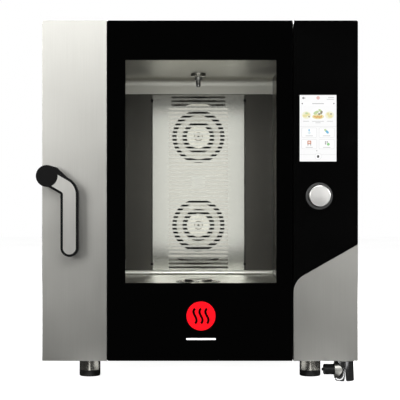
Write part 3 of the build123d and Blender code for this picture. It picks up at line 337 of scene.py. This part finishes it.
wearers = {
    "doorSteel": ["door_steel_strip", "lower_corner_panel"],
    "cabinetSteel": ["left_side_panel", "right_side_panel", "top_panel", "rear_panel", "base_frame",
                     "front_frame"],
    "frameSteel": ["door_frame"],
    "plainSteel": ["hinge_brackets", "latch_striker", "glass_clips", "spray_bracket",
                   "handle_shaft", "latch_hook", "knob_shaft"],
    "floorSteelPaintedLight": ["cavity_floor"],
    "blackenedSteel": ["baffle_screws"],
    "cavitySteel": ["drain_strainer", "drain_pipe", "steam_vent", "wash_pipe"],
    "ceilingSteelPaintedLight": ["cavity_ceiling"],
    "wallSteelPaintedShade": ["cavity_left_wall", "cavity_right_wall", "rear_wall_panels"],
    "baffleSteel": ["fan_baffle"],
    "chamberSteel": ["fan_chamber"],
    "upperSpunSteel": ["upper_fan_wheel"],
    "lowerSpunSteel": ["lower_fan_wheel"],
    "sleeveSteel": ["foot_sleeves"],
    "inlaySteel": ["handle_inlay"],
    "handleNylon": ["handle_grip", "encoder"],
    "footNylon": ["foot_front_left", "foot_front_right", "foot_rear_left", "foot_rear_right"],
    "bezelNylon": ["knob_bezel"],
    "knobNylon": ["spray_knob", "cable_gland"],
    "siliconeRubber": ["door_gasket"],
    "floatGlass": ["outer_glass", "inner_glass"],
    "blackGlass": ["control_glass"],
    "blackEnamel": ["glass_border"],
    "blackPowderCoat": ["control_housing"],
    "redEnamel": ["badge"],
    "turnedAluminium": ["control_knob"],
    "chromePlate": ["spray_bell", "wash_nozzle"],
    "machinedBrass": ["water_inlet", "hinge_bushes", "handle_bush"],
    "oxidisedAlloy": ["upper_heating_element", "lower_heating_element"],
    "castAluminium": ["upper_fan_motor", "lower_fan_motor"],
    "mineralWool": ["cavity_insulation"],
    "displayWhite": ["touch_display"],
}
for finish, names in wearers.items():
    for name in names:
        slots = nodes[name].data.materials
        slots.clear()
        slots.append(materials[finish])


def smoothEdges(name, angle=35):
    # Round faces shade smoothly, folds and edges stay crisp
    mesh = nodes[name].data
    for polygon in mesh.polygons:
        polygon.use_smooth = True
    mesh.set_sharp_from_angle(angle=math.radians(angle))


for name in nodes:
    smoothEdges(name)


def circleOutline(x, z, radiusX, radiusZ=None, count=32, turn=0.0):
    radiusZ = radiusZ or radiusX
    points = []
    for i in range(count):
        a = 2 * math.pi * i / count
        u, w = radiusX * math.cos(a), radiusZ * math.sin(a)
        points.append((x + u * math.cos(turn) - w * math.sin(turn),
                       z + u * math.sin(turn) + w * math.cos(turn)))
    return points


def roundedOutline(x0, z0, x1, z1, radius, steps=5):
    corners = [(x1 - radius, z1 - radius, 0), (x0 + radius, z1 - radius, 90),
               (x0 + radius, z0 + radius, 180), (x1 - radius, z0 + radius, 270)]
    points = []
    for cx, cz, start in corners:
        for i in range(steps + 1):
            a = math.radians(start + 90 * i / steps)
            points.append((cx + radius * math.cos(a), cz + radius * math.sin(a)))
    return points


def meshObject(name, mesh, material):
    data = bpy.data.meshes.new(name)
    mesh.to_mesh(data)
    mesh.free()
    data.materials.append(material)
    piece = bpy.data.objects.new(name, data)
    bpy.context.scene.collection.objects.link(piece)
    return piece


def thinShapes(name, outlines, face, thickness, material, body):
    # Flat raised shapes facing the front, one closed prism for each outline
    mesh = bmesh.new()
    for outline in outlines:
        front = [mesh.verts.new((x, face - thickness, z)) for x, z in outline]
        back = [mesh.verts.new((x, face, z)) for x, z in outline]
        mesh.faces.new(front)
        mesh.faces.new(list(reversed(back)))
        for i in range(len(outline)):
            j = (i + 1) % len(outline)
            mesh.faces.new((front[j], front[i], back[i], back[j]))
    bmesh.ops.recalc_face_normals(mesh, faces=mesh.faces)
    piece = meshObject(name, mesh, material)
    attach(piece, body)


print("display picture")
display = {"flange": 8 * mm, "glow": 1.0, "print": 0.04 * mm}
screenLow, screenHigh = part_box("touch_display")
screenLeft = screenLow.x + display["flange"]
screenTop = screenHigh.z - display["flange"]
screenFace = screenLow.y


def onScreen(outline):
    # From millimetres right and down of the screen's top left corner
    return [(screenLeft + x * mm, screenTop - z * mm) for x, z in outline]


tileSpans = [(5.1, 88, 45.5, 114), (51.6, 88, 92.8, 114), (5.1, 119, 45.5, 145), (51.6, 119, 92.8, 145)]
pictureLayers = {
    "#D9D9D9": [roundedOutline(*span, 3) for span in tileSpans]
               + [circleOutline(49.2, 165, 9), [(0, 84.2), (98.4, 84.2), (98.4, 84.9), (0, 84.9)],
                  [(0, 159.4), (98.4, 159.4), (98.4, 160), (0, 160)]],
    "#FCFCFC": [roundedOutline(a + 0.8, b + 0.8, c - 0.8, d - 0.8, 2.4) for a, b, c, d in tileSpans]
               + [circleOutline(49.2, 165, 8.2), roundedOutline(8, 18.5, 90, 28, 2),
                  circleOutline(49, 54, 21, 21)],
    "#C9C9C9": [roundedOutline(33, 21.6, 65, 24.4, 1), roundedOutline(76, 5.2, 92, 7.4, 1),
                roundedOutline(72, 10.4, 92, 12.2, 0.8), roundedOutline(33, 69.6, 65, 71.4, 0.8),
                roundedOutline(42, 73.6, 56, 75.4, 0.8), roundedOutline(9, 69.6, 25, 71.2, 0.7),
                roundedOutline(73, 69.6, 89, 71.2, 0.7)]
               + [roundedOutline((a + c) / 2 - 10, d - 5.2, (a + c) / 2 + 10, d - 3.4, 0.8)
                  for a, b, c, d in tileSpans],
    "#3E3E3E": [[(4.5, 22.8), (8, 20.6), (8, 25)], [(93.9, 22.8), (90.4, 20.6), (90.4, 25)],
                circleOutline(45.7, 149.6, 1.1), [(49.2, 160.6), (53.2, 164.6), (45.2, 164.6)],
                roundedOutline(46.6, 164.4, 51.8, 168.8, 0.4)],
    "#9A9A9A": [circleOutline(9.6, 8, 3), roundedOutline(13.2, 6.2, 14.6, 9.8, 0.5),
                roundedOutline(67.5, 124.5, 71, 128, 0.5), roundedOutline(72.2, 124.5, 75.7, 128, 0.5),
                roundedOutline(67.5, 129.2, 71, 132.7, 0.5), roundedOutline(20.5, 132.6, 23.5, 135.6, 0.6),
                roundedOutline(27.5, 132.6, 30.5, 135.6, 0.6)],
    "#E4B9B4": [circleOutline(49.2, 7.6, 4.6)],
    "#F0EFD6": [circleOutline(18, 54, 12, 10), circleOutline(80, 54, 12, 10)],
    "#E8DFA8": [circleOutline(14, 56, 6, 4), circleOutline(22, 52, 5, 4), circleOutline(82, 57, 6, 4),
                circleOutline(76, 51, 4, 4), circleOutline(49, 58, 16, 7)],
    "#BFD3A0": [circleOutline(44, 47, 8, 4, turn=-0.5), circleOutline(18, 49, 4, 2.4),
                circleOutline(55, 42, 6, 3, turn=0.7), circleOutline(69.6, 95.4, 5.2, 3, turn=0.8)],
    "#DDA865": [circleOutline(40 + 4.4 * i, 58 + 1.6 * (i % 2), 3.4, 2.2, turn=0.5 * i) for i in range(5)],
    "#8E8A70": [circleOutline(58, 47, 3, 5, turn=0.4), circleOutline(52, 51, 2.4, 3.4),
                circleOutline(84, 51, 2.4, 1.8), circleOutline(25, 58, 2.2, 1.8)],
    "#6FB6DA": [circleOutline(73.8, 99.4, 5.2, 3.2, turn=0.8), roundedOutline(23.4, 91.6, 26.6, 97.4, 1.2)],
    "#C77B62": [roundedOutline(20.4, 122.6, 30.6, 132, 1.4)],
    "#F6E3D8": [roundedOutline(22.6, 124.8, 28.4, 129.8, 0.8)],
    "#8FC98A": [circleOutline(76.6, 132.2, 3.8)],
    "#D8E8EE": [circleOutline(25.4, 101.6, 4.4, 4.4, count=4)],
}
for level, (code, outlines) in enumerate(pictureLayers.items()):
    lift = display["print"] * (level + 1)
    thinShapes(f"display_picture_{level:02d}", [onScreen(o) for o in outlines], screenFace, lift,
               litPrint(f"displayColour{level:02d}", code, display["glow"]), "cabinet")

print("badge rule")
rule = {"width": 80 * mm, "height": 5 * mm, "corner": 2 * mm, "drop": 62 * mm, "lift": 0.3 * mm}
badgeLow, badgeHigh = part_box("badge")
ruleX = (badgeLow.x + badgeHigh.x) / 2
ruleZ = (badgeLow.z + badgeHigh.z) / 2 - rule["drop"]
thinShapes("badge_rule", [roundedOutline(ruleX - rule["width"] / 2, ruleZ - rule["height"] / 2,
                                         ruleX + rule["width"] / 2, ruleZ + rule["height"] / 2,
                                         rule["corner"])],
           frontFace, rule["lift"], materials["whiteEnamel"], "door")

print("knob face")
knobFace = {"rim": 3.2 * mm, "dish": 0.55 * mm, "rings": 14, "sides": 72}


def domedFace():
    # Slightly domed face of the knob, lying in the dish that the rim leaves
    low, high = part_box("control_knob")
    centreX, centreZ = (low.x + high.x) / 2, (low.z + high.z) / 2
    radius = (high.x - low.x) / 2 - knobFace["rim"]
    mesh = bmesh.new()
    rings = []
    for i in range(1, knobFace["rings"] + 1):
        r = radius * i / knobFace["rings"]
        y = low.y + knobFace["dish"] * (i / knobFace["rings"]) ** 2
        outline = circleOutline(centreX, centreZ, r, count=knobFace["sides"])
        rings.append([mesh.verts.new((x, y, z)) for x, z in outline])
    top = mesh.verts.new((centreX, low.y, centreZ))
    for j in range(knobFace["sides"]):
        k = (j + 1) % knobFace["sides"]
        mesh.faces.new((top, rings[0][j], rings[0][k]))
        for inner, outer in zip(rings, rings[1:]):
            mesh.faces.new((inner[j], outer[j], outer[k], inner[k]))
    bmesh.ops.recalc_face_normals(mesh, faces=mesh.faces)
    piece = meshObject("knob_face", mesh, materials["turnedAluminium"])
    for polygon in piece.data.polygons:
        polygon.use_smooth = True
    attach(piece, "knob")


domedFace()

print("stage and camera")
stage = {"size": 14.0, "glow": 1.0, "mottle": 0.5}


def paleFloor():
    # Smooth pale studio floor that stays out of the oven's reflections
    mesh = bmesh.new()
    bmesh.ops.create_grid(mesh, x_segments=8, y_segments=8, size=stage["size"])
    material, tree, surface, place = startMaterial("paleFloorPaint", {"Emission Strength": stage["glow"]})
    mottle = stretchedNoise(tree, place, (stage["mottle"],) * 3, detail=2.0)
    shades = ("#F2F2F2", "#FFFFFF")
    dressSurface(tree, surface, mottle, shades, (0.7, 0.85))
    dressSurface(tree, surface, mottle, shades, paint="Emission Color")
    floor = meshObject("studio_floor", mesh, material)
    floor.visible_glossy = False
    floor.visible_transmission = False


paleFloor()

cameraView = {"distance": 3.605, "height": 0.495, "lens": 120.6, "sensor": 36.0, "reach": 60.0}
camera = bpy.data.objects.new("camera", bpy.data.cameras.new("camera"))
camera.data.lens = cameraView["lens"]
camera.data.sensor_width = cameraView["sensor"]
camera.data.clip_end = cameraView["reach"]
camera.location = (midX, frontFace - cameraView["distance"], cameraView["height"])
camera.rotation_euler = (math.radians(90), 0, 0)
bpy.context.scene.collection.objects.link(camera)
bpy.context.scene.camera = camera
bpy.context.scene.view_settings.view_transform = "Standard"


def softbox(name, place, target, size, power):
    light = bpy.data.lights.new(name, "AREA")
    light.shape = "RECTANGLE"
    light.size, light.size_y = size
    light.energy = power
    lamp = bpy.data.objects.new(name, light)
    lamp.location = place
    lamp.rotation_euler = (Vector(target) - Vector(place)).to_track_quat("-Z", "Y").to_euler()
    bpy.context.scene.collection.objects.link(lamp)


print("lights")
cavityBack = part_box("inner_glass")[1].y
cavityMid = (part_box("fan_baffle")[0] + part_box("fan_baffle")[1]) / 2
onFloor = 3 * mm
# Place, the point it faces, width and height, power in watts. The last two shine on the cavity's back
# from just behind the inner glass, and on the inlet plate and the wheels from behind the baffle
lights = {
    "front_top": ((midX + 0.6, frontFace - 3.4, 2.35), (midX, frontFace, 0.75), (2.6, 1.3), 60),
    "left_panel": ((-1.75, frontFace - 3.4, 1.35), (-0.33, frontFace, 0.6), (1.3, 1.5), 26),
    "right_panel": ((1.5, frontFace - 3.6, 0.85), (0.33, frontFace, 0.4), (1.0, 1.0), 7),
    "left_card": ((-1.0, frontFace - 1.9, onFloor), (-1.0, frontFace - 1.9, 1), (0.9, 2.7), 2.6),
    "right_card": ((1.0, frontFace - 1.9, onFloor), (1.0, frontFace - 1.9, 1), (1.0, 2.7), 4),
    "middle_card": ((midX, frontFace + 0.1, onFloor), (midX, frontFace + 0.1, 1), (0.3, 0.3), 0.3),
    "left_side": ((-3.2, -0.6, 1.6), (0, 0, 0.5), (1.6, 2.0), 60),
    "right_side": ((3.2, -0.4, 1.6), (0, 0, 0.5), (1.6, 2.0), 60),
    "rear": ((0.6, 3.4, 2.2), (0, 0.4, 0.5), (2.0, 1.6), 150),
    "overhead": ((0, 0.2, 3.4), (0, 0.2, 0), (2.6, 2.6), 130),
    "cavity_front": ((cavityMid.x, cavityBack + 0.004, cavityMid.z + 0.015),
                     (cavityMid.x, cavityBack + 1, cavityMid.z + 0.015), (0.378, 0.499), 0.6),
    "fan_light": ((cavityMid.x, cavityMid.y + 0.008, cavityMid.z),
                  (cavityMid.x, cavityMid.y + 1, cavityMid.z), (0.27, 0.5), 0.45),
}
for name, (place, target, size, power) in lights.items():
    softbox(name, place, target, size, power)
# Narrow cards on the floor, low enough to stay out of the black glass, put bands on sleeves and bell
cards = {"left_foot": "foot_front_left", "right_foot": "foot_front_right", "bell": "spray_bell"}
cardLook = {"forward": 0.1, "size": (0.03, 0.6), "power": 0.1}
for name, node in cards.items():
    low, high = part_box(node)
    place = ((low.x + high.x) / 2, frontFace - cardLook["forward"], onFloor)
    softbox(name + "_card", place, (place[0], place[1], 1), cardLook["size"], cardLook["power"])


worldGlow = {"seen": 1.0, "reflected": 0.03}


def studioWorld():
    # White to the eye, but dim in reflections, so that gloss comes from the softboxes
    world = bpy.data.worlds.new("studio")
    world.use_nodes = True
    tree = world.node_tree
    tree.nodes.clear()
    white = hexToLinear("#FFFFFF")
    seen = addNode(tree, "ShaderNodeBackground", inputs={"Color": white, "Strength": worldGlow["seen"]})
    dim = addNode(tree, "ShaderNodeBackground", inputs={"Color": white, "Strength": worldGlow["reflected"]})
    ray = addNode(tree, "ShaderNodeLightPath")
    mix = addNode(tree, "ShaderNodeMixShader", inputs={0: ray.outputs["Is Camera Ray"], 1: dim.outputs[0],
                                                       2: seen.outputs[0]})
    addNode(tree, "ShaderNodeOutputWorld", inputs={"Surface": mix.outputs[0]})
    bpy.context.scene.world = world


studioWorld()
